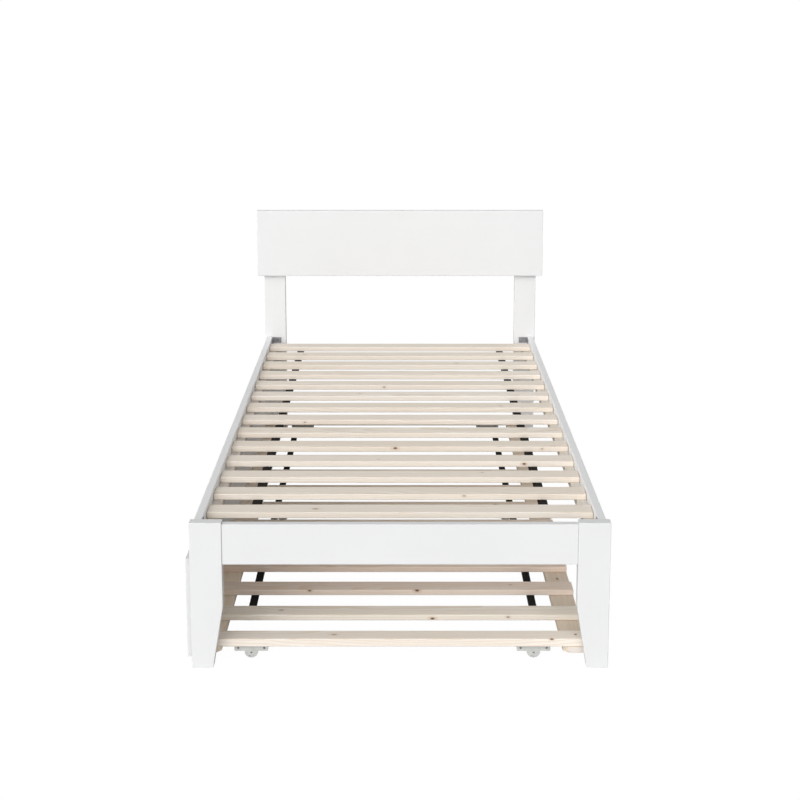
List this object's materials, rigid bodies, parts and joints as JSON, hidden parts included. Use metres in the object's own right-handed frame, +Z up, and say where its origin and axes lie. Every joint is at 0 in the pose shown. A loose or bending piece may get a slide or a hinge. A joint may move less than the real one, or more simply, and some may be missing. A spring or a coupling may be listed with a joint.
{
  "type": "trundle bed",
  "caption": "Low slatted bed with a flat headboard panel on posts, and a slatted trundle on fixed casters that rolls out sideways from below it behind its own front panel.",
  "frame": {"origin": "centre of the footprint at floor level", "axes": "+Z up, +Y from the foot towards the headboard, the trundle rolls out towards -X"},
  "size_m": [1.104, 1.99, 0.884],
  "materials": {
    "white_paint": "wood painted satin white",
    "raw_pine": "sanded, unfinished pale softwood with fine grain and small knots",
    "black_webbing": "matt woven webbing",
    "zinc_steel": "zinc-plated sheet steel",
    "caster_housing": "pressed sheet steel, light grey coating",
    "caster_wheel": "moulded nylon, light grey"
  },
  "bodies": {
    "bed_frame": {"foot_leg_left": "white_paint", "head_post_left": "white_paint", "side_rail_left": "white_paint", "foot_leg_right": "white_paint", "head_post_right": "white_paint", "side_rail_right": "white_paint", "foot_rail": "white_paint", "headboard_panel": "white_paint", "slat_ledger_left": "raw_pine", "slat_ledger_right": "raw_pine", "slat_01": "raw_pine", "slat_02": "raw_pine", "slat_03": "raw_pine", "slat_04": "raw_pine", "slat_05": "raw_pine", "slat_06": "raw_pine", "slat_07": "raw_pine", "slat_08": "raw_pine", "slat_09": "raw_pine", "slat_10": "raw_pine", "slat_11": "raw_pine", "slat_12": "raw_pine", "slat_13": "raw_pine", "slat_14": "raw_pine", "slat_strap_left": "black_webbing", "slat_strap_right": "black_webbing", "corner_bracket_foot_left": "zinc_steel", "corner_bracket_foot_right": "zinc_steel", "corner_bracket_head_left": "zinc_steel", "corner_bracket_head_right": "zinc_steel"},
    "trundle": {"trundle_front_panel": "white_paint", "trundle_plank_left": "raw_pine", "trundle_plank_right": "raw_pine", "trundle_end_rail_near": "raw_pine", "trundle_end_rail_far": "raw_pine", "trundle_slat_01": "raw_pine", "trundle_slat_02": "raw_pine", "trundle_slat_03": "raw_pine", "trundle_slat_04": "raw_pine", "trundle_slat_05": "raw_pine", "trundle_slat_06": "raw_pine", "trundle_slat_07": "raw_pine", "trundle_slat_08": "raw_pine", "trundle_slat_09": "raw_pine", "trundle_slat_10": "raw_pine", "trundle_slat_11": "raw_pine", "trundle_strap_left": "black_webbing", "trundle_strap_right": "black_webbing", "caster_bracket_near_left": "caster_housing", "caster_bracket_mid_left": "caster_housing", "caster_bracket_far_left": "caster_housing", "caster_bracket_near_right": "caster_housing", "caster_bracket_mid_right": "caster_housing", "caster_bracket_far_right": "caster_housing"},
    "wheel_near_left": {"caster_wheel_near_left": "caster_wheel"},
    "wheel_mid_left": {"caster_wheel_mid_left": "caster_wheel"},
    "wheel_far_left": {"caster_wheel_far_left": "caster_wheel"},
    "wheel_near_right": {"caster_wheel_near_right": "caster_wheel"},
    "wheel_mid_right": {"caster_wheel_mid_right": "caster_wheel"},
    "wheel_far_right": {"caster_wheel_far_right": "caster_wheel"}
  },
  "joints": [
    {"name": "trundle_slide", "type": "slide", "parent": "bed_frame", "child": "trundle", "axis": [-1, 0, 0], "range_m": [0, 1.05]},
    {"name": "wheel_near_left_roll", "type": "hinge", "parent": "trundle", "child": "wheel_near_left", "pos_m": [-0.383, -0.9345, 0.017], "axis": [0, 1, 0], "continuous": true},
    {"name": "wheel_mid_left_roll", "type": "hinge", "parent": "trundle", "child": "wheel_mid_left", "pos_m": [-0.383, 0.008, 0.017], "axis": [0, 1, 0], "continuous": true},
    {"name": "wheel_far_left_roll", "type": "hinge", "parent": "trundle", "child": "wheel_far_left", "pos_m": [-0.383, 0.942, 0.017], "axis": [0, 1, 0], "continuous": true},
    {"name": "wheel_near_right_roll", "type": "hinge", "parent": "trundle", "child": "wheel_near_right", "pos_m": [0.344, -0.9345, 0.017], "axis": [0, 1, 0], "continuous": true},
    {"name": "wheel_mid_right_roll", "type": "hinge", "parent": "trundle", "child": "wheel_mid_right", "pos_m": [0.344, 0.008, 0.017], "axis": [0, 1, 0], "continuous": true},
    {"name": "wheel_far_right_roll", "type": "hinge", "parent": "trundle", "child": "wheel_far_right", "pos_m": [0.344, 0.942, 0.017], "axis": [0, 1, 0], "continuous": true}
  ],
  "couplings": [
    {"joint": "wheel_near_left_roll", "follows": "trundle_slide", "rad_per_m": -58.824},
    {"joint": "wheel_mid_left_roll", "follows": "trundle_slide", "rad_per_m": -58.824},
    {"joint": "wheel_far_left_roll", "follows": "trundle_slide", "rad_per_m": -58.824},
    {"joint": "wheel_near_right_roll", "follows": "trundle_slide", "rad_per_m": -58.824},
    {"joint": "wheel_mid_right_roll", "follows": "trundle_slide", "rad_per_m": -58.824},
    {"joint": "wheel_far_right_roll", "follows": "trundle_slide", "rad_per_m": -58.824}
  ]
}
